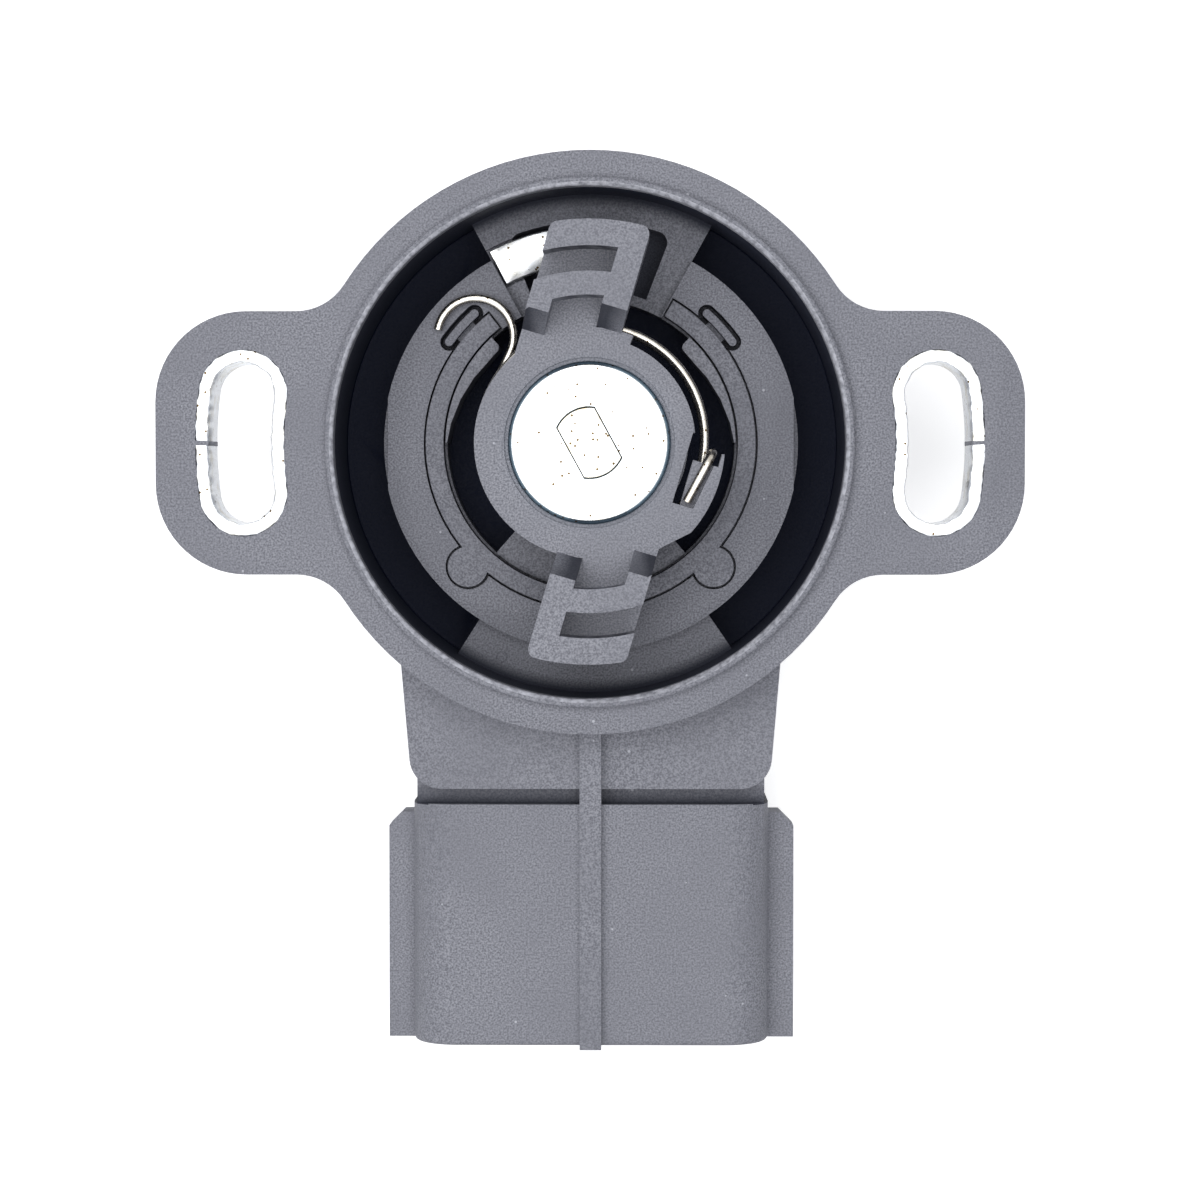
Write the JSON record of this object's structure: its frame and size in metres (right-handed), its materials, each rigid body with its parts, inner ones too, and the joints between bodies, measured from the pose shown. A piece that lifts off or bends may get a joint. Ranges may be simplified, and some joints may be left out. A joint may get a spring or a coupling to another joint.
{
  "type": "throttle position sensor",
  "caption": "Round rotary sensor with slotted mounting ears, a sprung rotor with two drive lugs in an open cavity, and a keyed plug socket.",
  "frame": {"origin": "on the rotor's axis, in the plane of the mounting face", "axes": "+Z out of the mounting face along the rotor's axis, connector along -Y, mounting ears along X"},
  "size_m": [0.067, 0.0702, 0.025],
  "materials": {
    "moulded_plastic": "fine matte texture, glass filled",
    "retainer_plastic": "smooth matte",
    "rotor_plastic": "fine matte texture",
    "cover_plastic": "smooth matte",
    "plated_steel": "bright zinc plating",
    "shaft_steel": "turned",
    "spring_wire": "drawn wire",
    "sintered_bronze": "sintered, oiled",
    "seal_rubber": "smooth",
    "tinned_brass": "tin plated",
    "ceramic_board": "fired ceramic with printed tracks"
  },
  "bodies": {
    "housing": {"housing": "moulded_plastic", "left_slot_bush": "plated_steel", "right_slot_bush": "plated_steel", "spring_retainer": "retainer_plastic", "steel_tab": "plated_steel", "shaft_bush": "sintered_bronze", "shaft_seal": "seal_rubber", "track_board": "ceramic_board", "terminal_1": "tinned_brass", "terminal_2": "tinned_brass", "terminal_3": "tinned_brass", "terminal_4": "tinned_brass", "rear_cover": "cover_plastic", "cover_seal": "seal_rubber", "return_spring": "spring_wire"},
    "rotor": {"rotor": "rotor_plastic", "rotor_shaft": "shaft_steel", "hub_washer": "plated_steel", "thrust_washer": "shaft_steel", "wiper_carrier": "retainer_plastic", "signal_wiper": "tinned_brass", "idle_wiper": "tinned_brass", "shaft_clip": "shaft_steel"}
  },
  "joints": [
    {"name": "rotor_turn", "type": "hinge", "parent": "housing", "child": "rotor", "pos_m": [0, 0, 0], "axis": [0, 0, 1], "range_deg": [0, 100], "stiffness_Nm_per_rad": 0.01, "springref_deg": -57.3, "deforming": ["return_spring"]}
  ]
}
